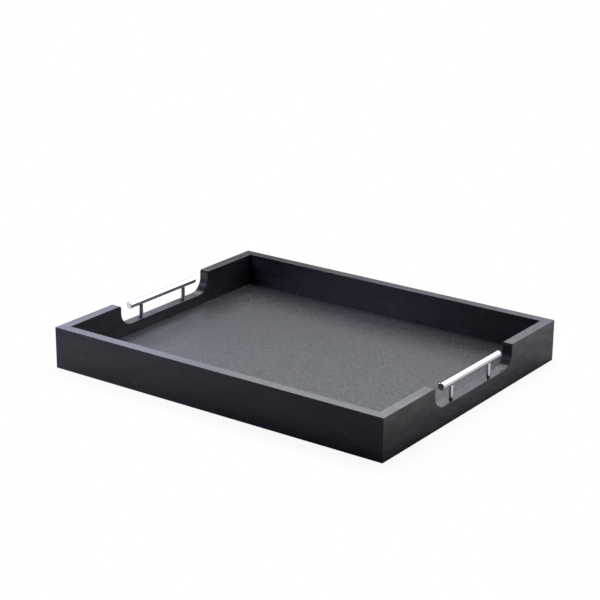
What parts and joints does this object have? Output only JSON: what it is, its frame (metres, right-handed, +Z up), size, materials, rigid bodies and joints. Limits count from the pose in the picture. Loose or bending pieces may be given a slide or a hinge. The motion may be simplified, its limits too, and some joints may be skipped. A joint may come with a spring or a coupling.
{
  "type": "butlers tray",
  "caption": "Rectangular serving tray with mitred wooden rails, a recessed flat floor and a polished bar handle set in a notch at each end.",
  "frame": {"origin": "centre of the tray's footprint, on the surface it stands on", "axes": "+X along the long side, towards the right-hand handle; +Y across, from the near rail to the far rail; +Z up"},
  "size_m": [0.54, 0.44, 0.06],
  "materials": {
    "stained_wood": "black stain under satin lacquer, faint grain",
    "base_board": "black-painted panel, matt",
    "pebbled_sheet": "fine pebbled non-slip surface, charcoal, with a soft sheen",
    "bare_plywood": "unfinished",
    "polished_chrome": "mirror polished",
    "zinc_steel": "zinc plated"
  },
  "bodies": {
    "root": {"front_rail": "stained_wood", "back_rail": "stained_wood", "left_end_rail": "stained_wood", "right_end_rail": "stained_wood", "base_panel": "base_board", "floor_liner": "pebbled_sheet", "corner_spline_front_left": "bare_plywood", "corner_spline_front_right": "bare_plywood", "corner_spline_back_left": "bare_plywood", "corner_spline_back_right": "bare_plywood", "left_handle_bar": "polished_chrome", "right_handle_bar": "polished_chrome", "left_handle_post_front": "polished_chrome", "left_handle_post_back": "polished_chrome", "right_handle_post_front": "polished_chrome", "right_handle_post_back": "polished_chrome", "left_handle_screw_front": "zinc_steel", "left_handle_screw_back": "zinc_steel", "right_handle_screw_front": "zinc_steel", "right_handle_screw_back": "zinc_steel", "left_handle_washer_front": "zinc_steel", "left_handle_washer_back": "zinc_steel", "right_handle_washer_front": "zinc_steel", "right_handle_washer_back": "zinc_steel"}
  },
  "joints": []
}
